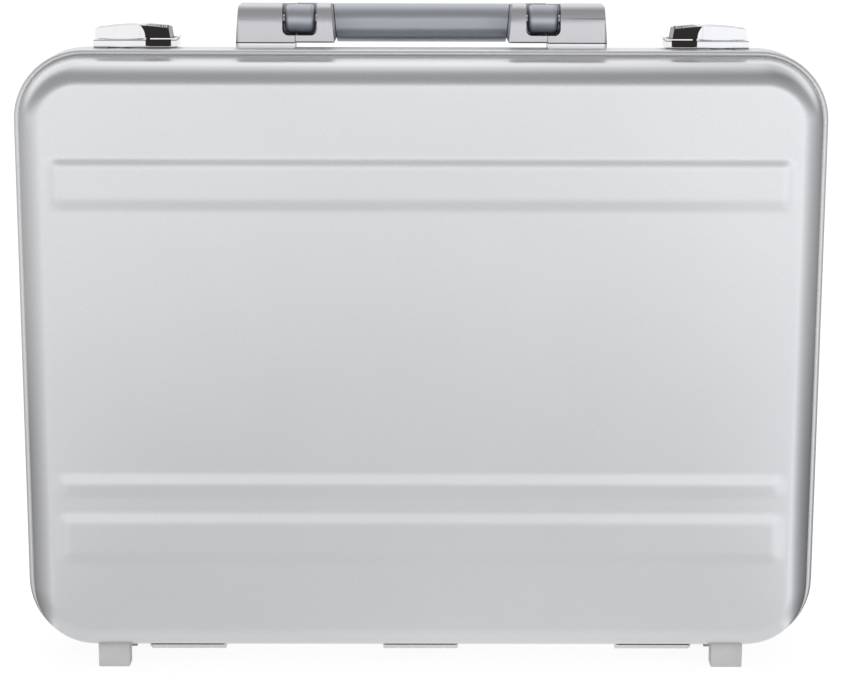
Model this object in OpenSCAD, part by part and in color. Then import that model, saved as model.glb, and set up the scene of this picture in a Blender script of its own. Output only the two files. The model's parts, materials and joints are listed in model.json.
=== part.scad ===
// Hard-shell attache case: two pressed aluminium shells in extruded frames, joined by three
// hinges, with a folding handle and two combination latches. It stands upright on its feet.
// X runs across the case, +Y to the back, +Z up. The origin is the middle of the footprint.

/* [Case] */
// Width over the frames
frame_w = 460; // [400:5:520]
// Height of the frames, without feet and handle
frame_h = 350; // [320:5:400]
// Outer corner radius of the frames
frame_r = 40; // [37:1:44]
// Depth of the lid, from the parting plane to its face
lid_depth = 34; // [31:1:50]
// Depth of the base, from the parting plane to its face
base_depth = 60; // [57:1:90]
// Sheet thickness of both shells
shell_t = 1.2; // [0.8:0.1:1.6]
// Draft angle of the shell walls
draft = 10; // [6:1:12]
// Outside radius between a shell's walls and its face
edge_r = 14; // [10:1:16]
// Thickness of the linings
lining_t = 1.5; // [1:0.1:2]

/* [Frames] */
// Depth of the lid frame
lid_frame_d = 10; // [9:0.5:12]
// Depth of the base frame
base_frame_d = 13; // [12:0.5:15]
// How far the frames stand proud of the shells
frame_proud = 3.9; // [3:0.1:4]
// Thickness of the inner lip of a frame
lip_t = 2.2; // [1.8:0.1:2.6]
// Solid depth of the lid frame behind the shell's hem
lid_web = 4; // [3.5:0.5:5]
// Solid depth of the base frame in front of the shell's hem
base_web = 7; // [6.5:0.5:8]
// Gap between the closed frames
parting_gap = 0.3; // [0.2:0.1:0.6]
// Width of the tongue on the lid frame
tongue_w = 1.6; // [1.2:0.1:1.8]
// How far the tongue reaches past the parting plane
tongue_l = 2.8; // [2:0.1:3]
// Height of the seal in the groove
seal_t = 1.5; // [1:0.1:1.6]

/* [Pressed bands] */
// Height of the bands above the face
band_h = 0.9; // [0.8:0.1:1.8]
// Width of a wide band between the middles of its slopes
band_w = 24; // [18:1:28]
// Distance of the wide bands from the middle of the face
band_at = 102.5; // [96:0.5:110]
// Width of the narrow rib between the middles of its slopes
rib_w = 7.5; // [5.5:0.5:9]
// Distance of the narrow rib below the middle of the face
rib_at = 71; // [60:0.5:76]
// Distance of the bands' ends from the sides of the case
band_in = 24; // [22:1:80]
// Width of the bands' slopes
band_slope = 5; // [3:0.5:5]

/* [Feet] */
// Height of the frames above the floor
foot_h = 9.5; // [8:0.5:14]
// Width of a foot
foot_w = 18.2; // [14:0.1:24]
// Distance of the feet's middles from the sides of the case
foot_in = 50.4; // [42:0.1:70]
// Depth of a foot on the lid
lid_foot_d = 10.5; // [8:0.5:11]
// Depth of a foot on the base
base_foot_d = 26; // [16:1:30]

/* [Hinges] */
// Width of a hinge
hinge_w = 44.5; // [35:0.5:60]
// Distance of the outer hinges' middles from the sides of the case
hinge_in = 92.3; // [80:0.1:140]
// Thickness of a hinge leaf
leaf_t = 1.5; // [1:0.1:1.8]
// Reach of a leaf from the parting plane
leaf_d = 10; // [8.5:0.5:11]
// Radius of the knuckles
knuckle_r = 2.5; // [2:0.1:2.8]
// Radius of the hinge pins
hinge_pin_r = 1.25; // [1:0.05:1.5]

/* [Handle] */
// Distance of the fronts of the handle and the latches behind the parting plane
fitting_front = 3; // [2.5:0.1:4]
// Half the width over the handle's posts
handle_half = 105.2; // [90:0.1:130]
// Width of a post
post_w = 33.6; // [32:0.1:36]
// Depth of a post
post_d = 20; // [19:0.5:24]
// Thickness of the pads under the posts
pad_t = 2.6; // [1.5:0.1:3]
// Height of a post
post_h = 21.8; // [21.6:0.1:23]
// Radius of the upper half of the posts' and arms' fronts
brow_r = 18; // [14:0.5:24]
// Width of an arm
arm_w = 22.1; // [21:0.1:26]
// Width of the notch round the barrel
notch_w = 19.5; // [18:0.1:20]
// Height of the pivot above the pads
pivot_rise = 13.2; // [13:0.1:13.4]
// Radius of the barrel in the notch
barrel_r = 8.3; // [7:0.1:8.4]
// Radius of the handle's pivot pins
handle_pin_r = 2.5; // [2:0.1:3]
// Distance of the grip behind the pivot
grip_back = 37; // [34:0.5:40]
// Radius of the grip
grip_r = 11; // [9:0.1:11.5]
// Radius of the rod inside the grip
core_r = 5; // [4:0.1:5.5]
// Radius of the handle's screws
screw_r = 2; // [1.5:0.1:2.2]

/* [Latches] */
// Distance of the latches' outer ends from the sides of the case
latch_in = 44.4; // [42:0.1:60]
// Length of a latch
latch_l = 47.2; // [46.6:0.1:52]
// Height of a latch's base
latch_base_h = 4.5; // [4.3:0.1:4.8]
// Gap between a closed lever and its base
lever_gap = 0.7; // [0.4:0.1:0.9]
// Height of the lever's top above the frames
lever_h = 12.6; // [12.4:0.1:13]
// Radius of the lever's pin
latch_pin_r = 1.2; // [1:0.05:1.4]
// Radius of a dial
dial_r = 5.6; // [5.4:0.1:5.8]
// Width of a dial
dial_w = 3; // [2.6:0.1:3.2]
// Radius of the dials' axle
axle_r = 1; // [0.8:0.1:1.3]
// Travel of the release tab
tab_travel = 2; // [1.5:0.1:2.2]

/* [Stays] */
// Distance of the stays' pivots above the hinge axis
stay_h = 60; // [50:1:90]
// Distance of the stays' pivots from the parting plane
stay_y = 12; // [10.5:0.5:14]
// Thickness of a stay link
link_t = 1.4; // [1:0.1:1.6]
// Width of a stay link
link_w = 7; // [6:0.5:9]
// Radius of the stays' pins
stay_pin_r = 1.5; // [1.2:0.1:1.8]

/* [Organiser] */
// Width of the document pocket in the lid
pocket_w = 390; // [300:5:400]
// Height of the document pocket
pocket_h = 270; // [220:5:280]
// Thickness of the document pocket
pocket_t = 5; // [3:0.5:6]
// Height of the flap on the pocket
flap_h = 150; // [120:5:180]
// Thickness of the flap
flap_t = 1.5; // [1:0.1:2]
// Radius of a pen loop
loop_r = 6; // [5:0.5:7]

/* [Hidden] */
$fn = 48;
fit = 0.05;               // seated parts
running = 0.05;           // pin in a turning part
slack = 0.3;              // parts that pass each other
thin_gap = 0.2;           // parts that lie on each other
part_y = (lid_depth - base_depth) / 2;
frame_top = foot_h + frame_h;
mid_z = foot_h + frame_h / 2;
half_x = frame_w / 2 - frame_r;
half_z = frame_h / 2 - frame_r;
hem_u = frame_r - frame_proud;
hem_len = 5;
channel_in = hem_u - shell_t - fit;
lip_u = channel_in - lip_t;
groove_u = (lip_u + frame_r) / 2 - 1.1;
groove_w = tongue_w + 2 * slack;
groove_v = parting_gap / 2 + tongue_l + slack + seal_t;
lining_gap = 0.3;
lid_hem_v = lid_frame_d + hem_len;
base_hem_v = base_frame_d + hem_len;
hinge_z = foot_h - knuckle_r - 0.5;
foot_x = frame_w / 2 - foot_in;
hinge_x = frame_w / 2 - hinge_in;
band_len = frame_w / 2 - band_in;
pivot_y = part_y + fitting_front + post_d / 2;
pivot_h = pad_t + pivot_rise;
screw_head_r = 1.7 * screw_r;
post_screw_v = base_frame_d + 4.5;
screw_reach = 8;          // of a handle screw into its post
plate_t = 1.5;
plate_half = 3.5;         // half the width of the backing plate
plate_u = hem_u - shell_t - 0.6;
small_screw_r = 1.4;
small_head_r = 2.5;
small_head_h = 1.5;
foot_screw_r = 1.5;
foot_head_r = 2.8;
latch_x = frame_w / 2 - latch_in;
latch_d = 20.5;
latch_back = fitting_front + latch_d;
axis_in = 3;              // of the lever's axis before the latch's back
lever_axis = [latch_back - axis_in, latch_base_h + 3.5];
housing_l = 17.8;         // of the dial housing with the end of the release tab
lever_end = latch_l - housing_l;
housing_end = latch_l - 3.4;
lever_bottom = latch_base_h + lever_gap;
skirt_back = fitting_front + 3.2;
dial_sunk = 0.3;          // of the dials' tops below the latch's highest point
dial_at = [skirt_back + slack + dial_r, lever_h - dial_sunk - dial_r];
dial_mid = (lever_end + housing_end) / 2;
dial_pitch = dial_w + 0.9;
stay_x = frame_w / 2 - frame_r + lip_u - thin_gap;
bracket_t = 1.5;
cut = 1;

// ---- places ----------------------------------------------------------------------------------

// Puts a half of the case in place: its x and y are the case's width and height, measured from
// the middle, and its z is the depth away from the parting plane.
module lid_half() translate([0, part_y, mid_z]) rotate([90, 0, 0]) children();
module base_half() translate([0, part_y, mid_z]) mirror([0, 1, 0]) rotate([90, 0, 0]) children();

// Draws the left piece in place, or its mirror image on the right.
module on_side(right) mirror([right ? 1 : 0, 0, 0]) children();

// x from the outer end of a post or latch towards the middle, y from the pivot or parting plane,
// z from the top of the frames
module at_post() translate([-handle_half, pivot_y, frame_top]) children();
module at_latch() translate([-latch_x, part_y, frame_top]) children();

// A 2D shape in x (towards +Y) and y (towards +Z), extruded along X from one place to another.
module along_x(from, to) translate([from, 0, 0]) rotate([90, 0, 90]) linear_extrude(to - from) children();
// A 2D shape in x and y (towards +Z), extruded along +Y from one place to another.
module along_y(from, to) translate([0, to, 0]) rotate([90, 0, 0]) linear_extrude(to - from) children();

module rod_x(from, to, r) translate([from, 0, 0]) rotate([0, 90, 0]) cylinder(h = to - from, r = r);
module rod_z(from, to, r) translate([0, 0, from]) cylinder(h = to - from, r = r);
module block(low, high) translate(low) cube(high - low);

// A rectangle with rounded corners, from low to high.
module round_rect(low, high, r) {
  translate(low + [r, 0]) square(high - low - [2 * r, 0]);
  translate(low + [0, r]) square(high - low - [0, 2 * r]);
  for (x = [low[0] + r, high[0] - r], y = [low[1] + r, high[1] - r]) translate([x, y]) circle(r = r);
}

// ---- shells, frames, linings --------------------------------------------------------------------

// Sweeps a section (x outwards from the corner centres, y in depth) round the case.
module ring() {
  for (i = [0:3]) {
    a = i % 2 == 0 ? half_x : half_z;
    b = i % 2 == 0 ? half_z : half_x;
    rotate([0, 0, 90 * i]) translate([a, b, 0]) {
      rotate_extrude(angle = 90) children();
      rotate([90, 0, 0]) linear_extrude(2 * b) children();
    }
  }
}

// Filled half section of a shell whose surfaces are moved inwards by inset.
module tray_section(depth, hem_v, inset) {
  wall_u = hem_u - inset;
  top = depth - inset;
  r = edge_r - inset;
  arc_u = wall_u - (r + (top - r - hem_v) * sin(draft)) / cos(draft);
  polygon([[0, 0], [wall_u, 0], [wall_u, hem_v],
    [arc_u + r * cos(draft), top - r + r * sin(draft)],
    [arc_u, top - r], [arc_u, top], [0, top]]);
  translate([arc_u, top - r]) circle(r = r);
}

// A pressed sheet between two insets, starting at the depth start.
module pressed_tray(depth, hem_v, outer, inner, start) {
  ring() difference() {
    tray_section(depth, hem_v, outer);
    tray_section(depth, hem_v, inner);
    translate([-cut, -cut]) square([frame_r + 2 * cut, start + cut]);
  }
  translate([-half_x, -half_z, depth - inner]) cube([2 * half_x, 2 * half_z, inner - outer]);
}

// Section of a band: upright to foot, then its slopes up to the crest.
module band_section(w, low, foot) {
  polygon([[-(w + band_slope) / 2, low], [(w + band_slope) / 2, low], [(w + band_slope) / 2, foot],
    [(w - band_slope) / 2, foot + band_h], [-(w - band_slope) / 2, foot + band_h],
    [-(w + band_slope) / 2, foot]]);
}

module band(w, at, low, foot) {
  translate([0, at, 0]) intersection() {
    rotate([90, 0, 90]) linear_extrude(2 * band_len + 4 * band_slope, center = true)
      band_section(w, low, foot);
    rotate([90, 0, 0]) linear_extrude(w + 4 * band_slope, center = true)
      band_section(2 * band_len, low, foot);
  }
}

module bands(low, foot) {
  band(band_w, band_at, low, foot);
  band(band_w, -band_at, low, foot);
  band(rib_w, -rib_at, low, foot);
}

module shell(depth, hem_v, web) {
  difference() {
    union() {
      pressed_tray(depth, hem_v, 0, shell_t, web);
      bands(depth - shell_t / 2, depth);
    }
    bands(depth - shell_t - cut, depth - shell_t);
  }
}

module lining(depth, hem_v, frame_d) {
  outer = shell_t + lining_gap;
  pressed_tray(depth, hem_v, outer, outer + lining_t, frame_d);
}

// A frame's outer wall with a round nose, its web and its lip, round the channel of the hem.
module frame_section(frame_d, web) {
  low = parting_gap / 2;
  wall = frame_proud - fit;
  translate([lip_u, low]) square([frame_r - lip_u, web - low]);
  translate([frame_r - wall, low]) square([wall, frame_d - wall / 2 - low]);
  translate([frame_r - wall / 2, frame_d - wall / 2]) circle(r = wall / 2);
  translate([lip_u, low]) square([lip_t, frame_d - 2 - low]);
}

module base_shell() color("silver") difference() {
  base_half() shell(base_depth, base_hem_v, base_web);
  foot_screw_holes(base_foot_screw_v);
  for (x = post_screw_places) translate([x, part_y + post_screw_v, frame_top])
    rod_z(-frame_r / 2, cut, screw_r + 0.2);
}

module lid_shell() color("silver") difference() {
  lid_half() shell(lid_depth, lid_hem_v, lid_web);
  foot_screw_holes(-lid_foot_screw_v);
}

module base_frame() color("gainsboro") difference() {
  base_half() ring() difference() {
    frame_section(base_frame_d, base_web);
    translate([groove_u - groove_w / 2, -cut]) square([groove_w, groove_v + cut]);
  }
  for (right = [false, true]) on_side(right) at_latch() {
    for (x = latch_screw_places) translate([x, latch_screw_y, 0])
      rod_z(-latch_screw_l, cut, small_screw_r + fit);
    block([keeper_x[0] - slack, -cut, -keeper_t - slack], [keeper_x[1] + slack, keeper_end + slack, cut]);
  }
  hinge_screw_holes(1);
}

module lid_frame() color("gainsboro") difference() {
  lid_half() {
    ring() frame_section(lid_frame_d, lid_web);
    difference() {
      ring() translate([groove_u - tongue_w / 2, -tongue_l]) square([tongue_w, tongue_l + lid_web / 2]);
      // the tongue ends above the lower corners, so that it leaves the groove freely
      translate([-frame_w, -frame_h, -frame_h]) cube([2 * frame_w, frame_h - half_z, 2 * frame_h]);
    }
  }
  for (right = [false, true]) on_side(right) at_latch() {
    for (x = keeper_screw_places) translate([x, keeper_screw_y, 0])
      rod_z(-latch_screw_l, cut, small_screw_r + fit);
    block([keeper_x[0] - fit, keeper_start - fit, -keeper_t], [keeper_x[1] + fit, cut, cut]);
  }
  hinge_screw_holes(-1);
}

module seal_gasket() color("dimgray") base_half() ring()
  translate([groove_u - groove_w / 2 + fit, groove_v - seal_t]) square([groove_w - 2 * fit, seal_t]);

module base_lining() color("#2b2b30") difference() {
  base_half() lining(base_depth, base_hem_v, base_frame_d - 1.5);
  backing_plate_space(slack);
}

module lid_lining() color("#2b2b30") lid_half() lining(lid_depth, lid_hem_v, lid_frame_d - 1.5);

// ---- feet -----------------------------------------------------------------------------------------

lid_foot_v = lid_frame_d + 1.5;
base_foot_v = base_frame_d + 1.2;
lid_foot_screw_v = lid_foot_v + lid_foot_d / 2;
base_foot_screw_v = base_foot_v + base_foot_d / 2;
foot_screw_places = [-foot_x, foot_x];
// Height of the underside of a shell at the depth v
function underside(v, hem_v) = foot_h + frame_proud + max(0, v - hem_v) * tan(draft);

module foot(v, d, hem_v, screw_v) difference() {
  along_x(-foot_w / 2, foot_w / 2) polygon([[v, 0], [v + d, 0],
    [v + d, underside(v + d, hem_v) - fit], [max(v, hem_v), underside(hem_v, hem_v) - fit],
    [v, underside(v, hem_v) - fit]]);
  translate([0, screw_v, 0]) {
    rod_z(-cut, 4, foot_head_r + 0.3);
    rod_z(0, frame_r, foot_screw_r + 0.1);
  }
}

module foot_screw(v, hem_v) translate([0, v, 0]) {
  rod_z(4 - 1.8, 4, foot_head_r);
  rod_z(3, underside(v, hem_v) + 0.8 * shell_t, foot_screw_r);
}

module foot_screw_holes(y) for (x = foot_screw_places) translate([x, part_y + y, 0])
  rod_z(0, foot_h + frame_r / 2, foot_screw_r + 0.1);

module feet_base() color("darkgray") for (x = foot_screw_places)
  translate([x, part_y, 0]) foot(base_foot_v, base_foot_d, base_hem_v, base_foot_screw_v);
module feet_screws_base() color("lightgray") for (x = foot_screw_places)
  translate([x, part_y, 0]) foot_screw(base_foot_screw_v, base_hem_v);
module feet_lid() color("darkgray") for (x = foot_screw_places)
  translate([x, part_y, 0]) mirror([0, 1, 0]) foot(lid_foot_v, lid_foot_d, lid_hem_v, lid_foot_screw_v);
module feet_screws_lid() color("lightgray") for (x = foot_screw_places)
  translate([x, part_y, 0]) mirror([0, 1, 0]) foot_screw(lid_foot_screw_v, lid_hem_v);

// ---- hinges ---------------------------------------------------------------------------------------

knuckles = 5;
hinge_screw_pitch = hinge_w / 3;
hinge_screw_y = (knuckle_r + slack + leaf_d) / 2;
hinge_places = [-hinge_x, 0, hinge_x];

module at_hinges() for (x = hinge_places) translate([x, part_y, hinge_z]) children();

// One leaf with its knuckles. side is 1 for the base and -1 for the lid.
module leaf(side, first, bore) {
  step = hinge_w / knuckles;
  top = foot_h - hinge_z;
  difference() {
    union() {
      mirror([0, side < 0 ? 1 : 0, 0]) translate([0, 0, top - leaf_t]) linear_extrude(leaf_t)
        polygon([[-hinge_w / 2, knuckle_r + slack], [hinge_w / 2, knuckle_r + slack],
          [hinge_w / 2, leaf_d - 1.5], [hinge_w / 2 - 1.5, leaf_d],
          [1.5 - hinge_w / 2, leaf_d], [-hinge_w / 2, leaf_d - 1.5]]);
      for (k = [first:2:knuckles - 1]) {
        low = k * step - hinge_w / 2 + thin_gap;
        high = low + step - 2 * thin_gap;
        rod_x(low, high, knuckle_r);
        mirror([0, side < 0 ? 1 : 0, 0])
          block([low, parting_gap / 2, 0], [high, knuckle_r + slack + cut, top]);
      }
    }
    rod_x(-hinge_w, hinge_w, bore);
    for (x = [-1:1]) translate([x * hinge_screw_pitch, side * hinge_screw_y, 0]) hinge_screw(fit);
  }
}

// A screw with its head sunk into the leaf; grown by clear it is the screw's hole.
module hinge_screw(clear) {
  top = foot_h - hinge_z;
  rod_z(top - leaf_t - clear, top - leaf_t / 2, 2 + clear);
  rod_z(top - leaf_t, top + 2.5, 1.1 + clear);
}

module hinge_screw_holes(side) at_hinges() for (x = [-1:1])
  translate([x * hinge_screw_pitch, side * hinge_screw_y, 0]) hinge_screw(fit);

module hinge_screws(side) color("lightgray") at_hinges() for (x = [-1:1])
  translate([x * hinge_screw_pitch, side * hinge_screw_y, 0]) hinge_screw(0);

module hinge_leaves_base() color("silver") at_hinges() leaf(1, 0, hinge_pin_r);
module hinge_leaves_lid() color("silver") at_hinges() leaf(-1, 1, hinge_pin_r + running);
module hinge_pins() color("gray") at_hinges() rod_x(-hinge_w / 2, hinge_w / 2, hinge_pin_r);
module hinge_screws_base() hinge_screws(1);
module hinge_screws_lid() hinge_screws(-1);

// ---- handle ---------------------------------------------------------------------------------------

post_top = pad_t + post_h;
post_round = 2.5;
brow_z = 13;              // where the fronts begin to lean back
brow_top_r = 6;           // at the top of a block's front
inner_lean = 2;           // of the arms' inner ends, over their height
notch_in = post_w - 7.1;
notch_floor = pivot_h - barrel_r - 0.5;
notch_back = barrel_r + 0.4;
notch_round = 3.5;
barrel_gap = 1.2;         // between the ends of a barrel and the notch
barrel_round = 3;
arm_start = post_w + slack;
arm_end = post_w + arm_w;
arm_front = slack - post_d / 2;
arm_low = slack - pivot_rise;
arm_high = post_top - pivot_h;
grip_drop = 2.5;          // of the grip below the arms
grip_flat = 2;            // half the height of the grip's flat front
grip_z = arm_low + grip_r - grip_drop;
clamp_top = grip_z + grip_r;
pin_start = 14;
pin_end = arm_end - 2.7;
core_in = 14;             // of the core's ends inside the arms' inner ends
core_thread = 12;         // depth of the threads in the core's ends
core_half = handle_half - arm_end + core_in;
post_screws = [8, 20];
post_screw_places = [for (s = [-1, 1], x = post_screws) s * (handle_half - x)];

// Footprint of a post and its pad: the outer corners are rounded.
module post_foot() intersection() {
  round_rect([0, -post_d / 2], [post_w + post_d, post_d / 2], post_round);
  translate([0, -post_d / 2]) square([post_w, post_d]);
}

module post_screw_holes(high) for (x = post_screws)
  translate([x, post_screw_v - fitting_front - post_d / 2, 0]) rod_z(-post_h, high, screw_r + fit);

// Side view of a block's front: upright at the bottom, leaning back in an arc that tightens to the top.
module brow_section(front, back, low, high) {
  rise = high - brow_top_r - brow_z;
  turn_y = front + brow_r - sqrt(pow(brow_r - brow_top_r, 2) - pow(rise, 2));
  intersection() {
    union() {
      translate([front + brow_r, brow_z]) circle(r = brow_r);
      translate([front, low]) square([back - front, brow_z - low]);
      translate([front + brow_r, low]) square([back - front, high - low]);
    }
    union() {
      translate([turn_y, high - brow_top_r]) circle(r = brow_top_r);
      translate([front, low]) square([back - front, brow_z + brow_r * rise / (brow_r - brow_top_r) - low]);
      translate([turn_y, low]) square([back - turn_y, high - low]);
    }
    round_rect([front, low - post_round], [back, high], post_round);
    translate([front, low]) square([back - front, high - low]);
  }
}

// Flat pad under a post. Behind the frame it stands on the shell.
module handle_pads() color("#dcdee2") for (right = [false, true]) on_side(right) at_post() difference() {
  union() {
    linear_extrude(pad_t) post_foot();
    translate([0, 0, 0.1 - frame_proud]) linear_extrude(frame_proud) intersection() {
      post_foot();
      translate([0, base_frame_d + slack - fitting_front - post_d / 2]) square([post_w, post_d]);
    }
  }
  post_screw_holes(post_h);
}

// Front view of the notch that straddles the split between a post and its arm.
module notch_section() round_rect([notch_in, notch_floor], [notch_in + notch_w, 2 * post_top], notch_round);

// Fixed outer block that carries the pivot pin. It leans in a little at its outer end.
module handle_post(right) color("#c9cad2") on_side(right) at_post() difference() {
  intersection() {
    along_y(-post_d / 2, post_d / 2) polygon([[0, pad_t], [post_w, pad_t], [post_w, post_top],
      [2.6, post_top], [1.6, post_top - 1.2]]);
    along_x(0, post_w) brow_section(-post_d / 2, post_d / 2, 0, post_top);
    linear_extrude(post_top) post_foot();
  }
  along_y(-post_d, notch_back) notch_section();
  translate([0, 0, pivot_h]) rod_x(pin_start, post_w, handle_pin_r);
  post_screw_holes(pad_t + screw_reach + 0.5);
}

module handle_barrels() color("#b9bac2") for (right = [false, true]) on_side(right)
  at_post() translate([0, 0, pivot_h]) difference() {
    translate([notch_in + barrel_gap, 0, 0]) rotate([0, 90, 0]) rotate_extrude() intersection() {
      round_rect([-barrel_r, 0], [barrel_r, notch_w - 2 * barrel_gap], barrel_round);
      square([barrel_r, notch_w]);
    }
    rod_x(0, handle_half, handle_pin_r + fit);
  }

module handle_pins() color("gray") for (right = [false, true]) on_side(right)
  at_post() translate([0, 0, pivot_h]) rod_x(pin_start, pin_end, handle_pin_r);

module handle_screws() color("gray") for (x = post_screw_places)
  translate([x, part_y + post_screw_v, frame_top]) {
    rod_z(plate_u - frame_r - plate_t - screw_r, plate_u - frame_r - plate_t, screw_head_r);
    rod_z(plate_u - frame_r - plate_t - screw_r / 2, pad_t + screw_reach, screw_r);
  }

// The strip inside the top wall that spreads the handle's load, or the space round it.
module backing_plate_space(clear) translate([0, part_y + post_screw_v, frame_top + plate_u - frame_r])
  block([-handle_half - clear, -plate_half - clear, -plate_t - 4 * clear],
    [handle_half + clear, plate_half + clear, clear]);

module handle_backing_plate() color("gray") difference() {
  backing_plate_space(0);
  for (x = post_screw_places) translate([x, part_y + post_screw_v, frame_top])
    rod_z(-frame_r, 0, screw_r + fit);
}

// Side view of an arm, seen along the pivot: the hub in front, the clamp round the grip behind.
// Below the pivot the hub's front is struck from it, so that it swings clear of the frame.
module arm_section() {
  clamp_r = (clamp_top - arm_low) / 2;
  intersection() {
    translate([0, -pivot_h]) brow_section(arm_front, notch_back + 2, 0, post_top);
    union() {
      translate([arm_front, 0]) square(post_d);
      intersection() {
        circle(r = pivot_h - slack);
        translate([arm_front, arm_low]) square([post_d, -arm_low]);
      }
    }
  }
  polygon([[0, arm_low], [grip_back, arm_low], [grip_back, clamp_top], [0, arm_high]]);
  translate([grip_back, arm_low + clamp_r]) circle(r = clamp_r);
}

module handle_arm(right) color("#c9cad2") on_side(right) at_post() translate([0, 0, pivot_h])
  difference() {
    intersection() {
      along_x(arm_start, arm_end) arm_section();
      along_y(-post_d, 2 * grip_back) polygon([[0, arm_low], [arm_end, arm_low],
        [arm_end - inner_lean, arm_high], [0, arm_high]]);
    }
    translate([0, 0, -pivot_h]) along_y(-post_d, notch_back) notch_section();
    rod_x(0, pin_end + slack, handle_pin_r + running);
    translate([0, grip_back, grip_z]) {
      rod_x(handle_half - core_half, handle_half, core_r + fit);
      rod_x(0, handle_half, screw_r + 0.1);
      rod_x(0, arm_start + 2.5, screw_head_r + 0.2);
    }
  }

// x of an arm's inner end at the height z from the pivot
function arm_inner(z) = arm_end - inner_lean * (z - arm_low) / (arm_high - arm_low);

module at_grip() translate([0, pivot_y + grip_back, frame_top + pivot_h + grip_z]) children();

module grip_core() color("gray") at_grip() difference() {
  rod_x(-core_half, core_half, core_r);
  for (s = [0, 1]) mirror([s, 0, 0]) rod_x(core_half - core_thread, core_half + cut, screw_r + fit);
}

// Its ends follow the arms' leaning inner ends.
module grip_sleeve() color("#8f929c") difference() {
  intersection() {
    at_grip() along_x(-handle_half, handle_half)
      round_rect([-grip_r, -grip_r], [grip_r, grip_r], grip_r - grip_flat);
    translate([0, 0, frame_top + pivot_h]) along_y(0, frame_w) polygon([for (s = [-1, 1], e = [-s, s])
      [s * (handle_half - arm_inner(e * 2 * grip_r) - thin_gap), e * 2 * grip_r]]);
  }
  at_grip() rod_x(-handle_half, handle_half, core_r + fit);
}

module grip_screws() color("lightgray") for (s = [0, 1]) mirror([s, 0, 0]) at_grip() {
  head = handle_half - arm_start - 2.5;
  rod_x(head, head + 2.2, screw_head_r);
  rod_x(core_half - core_thread + 2, head + 1, screw_r);
}

// ---- latches --------------------------------------------------------------------------------------

latch_screw_places = [5, lever_end - 3.6];
latch_screw_y = fitting_front + 6.5;
latch_screw_l = 3.2;
keeper_x = [latch_screw_places[0] + 3.5, latch_screw_places[1] - 3.3];
keeper_t = 1.4;
keeper_start = -8;
keeper_screw_y = -2.4;
keeper_screw_in = (keeper_x[1] - keeper_x[0]) * 3.2 / 14;
keeper_screw_places = [keeper_x[0] + keeper_screw_in, keeper_x[1] - keeper_screw_in];
keeper_head_r = 2;
keeper_head_h = 0.8;
claw_x = [keeper_x[0] + 1.5, keeper_x[1] - 1.5];
claw_y = [fitting_front + 3, fitting_front + 4.4];
keeper_end = claw_y[1] + 1;
ears = [[4, 6.5], [lever_end - 5.8, lever_end - 3.3]];
ear_r = latch_pin_r + 0.7;
lever_back_r = latch_pin_r + 2;
lever_step = lever_end - 3.1;        // inwards of it the lever's front lies behind the housing's lip
step_back = 1.4;
lip_depth = step_back - slack;
housing_start = lever_end + slack;
housing_back = latch_back - 0.5;
skirt_low = 1;
dome_mid = lever_end - 6.4; // highest place of the lever's dome
dome_r = 125;
rail_low = latch_base_h + 0.15;
rail_t = 0.8;
rails = [[fitting_front + 0.2, fitting_front + 1.8],
  [dial_at[0] + dial_r + 1.2, dial_at[0] + dial_r + 3.8]];
tip_start = housing_end + tab_travel + slack;
tip_l = 1.7;              // reach of the release tab past the latch

// Front view of the lever and the dial housing together: a low dome with steep ends.
module dome_section(from, to, low) intersection() {
  polygon([[1.1, low], [1.3, lever_h - 3], [2.4, lever_h + cut], [housing_end - 1.5, lever_h + cut],
    [housing_end - 1, lever_h - 2], [housing_end, low]]);
  translate([dome_mid, lever_h - dome_r]) circle(r = dome_r, $fn = 360);
  translate([from, 0]) square([to - from, 2 * lever_h]);
}

module latch_body(right) color("gainsboro") on_side(right) at_latch() difference() {
  union() {
    along_y(fitting_front, latch_back) round_rect([0, 0], [latch_l, latch_base_h], 0.8);
    // behind the frame it stands on the shell
    block([cut, base_frame_d + slack, 0.1 - frame_proud], [latch_l - cut, latch_back, latch_base_h / 2]);
    for (e = ears) along_x(e[0], e[1]) {
      translate(lever_axis) circle(r = ear_r);
      translate([lever_axis[0] - ear_r, latch_base_h - cut])
        square([2 * ear_r, lever_axis[1] - latch_base_h + cut]);
    }
  }
  for (x = latch_screw_places) translate([x, latch_screw_y, 0]) {
    rod_z(latch_base_h - small_head_h - thin_gap, latch_base_h + cut, small_head_r + 0.2);
    rod_z(-cut, latch_base_h, small_screw_r + fit);
  }
  // the claw's window
  block([claw_x[0] - 0.5, fitting_front + 1.1, -cut], [claw_x[1] + 0.5, claw_y[1] + 0.4, latch_base_h + cut]);
  // the recess for the housing's skirt and the room for the dials
  block([housing_start - thin_gap, 0, skirt_low - thin_gap],
    [housing_end + thin_gap, skirt_back + thin_gap, latch_base_h + cut]);
  block([dial_mid - 1.5 * dial_pitch - 0.1, skirt_back, skirt_low - thin_gap],
    [dial_mid + 1.5 * dial_pitch + 0.1, dial_at[0] + dial_r - 0.2, latch_base_h + cut]);
  translate([0, lever_axis[0], lever_axis[1]]) rod_x(0, latch_l, latch_pin_r);
}

// Keeper let into the tops of the frames. Its plate is screwed to the lid's frame and its tongue
// reaches back under the claw.
module latch_catch(right) color("gainsboro") on_side(right) at_latch() difference() {
  block([keeper_x[0], keeper_start, -keeper_t], [keeper_x[1], keeper_end, 0]);
  block([0, 0, -slack], [latch_l, latch_back, cut]);
  for (x = keeper_screw_places) translate([x, keeper_screw_y, 0]) {
    rod_z(-keeper_head_h - 0.1, cut, keeper_head_r + 0.1);
    rod_z(-latch_base_h, 0, small_screw_r + fit);
  }
}

module latch_pins() color("gray") for (right = [false, true]) on_side(right) at_latch()
  translate([0, lever_axis[0], lever_axis[1]]) rod_x(2, lever_end - 0.6, latch_pin_r);

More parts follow.
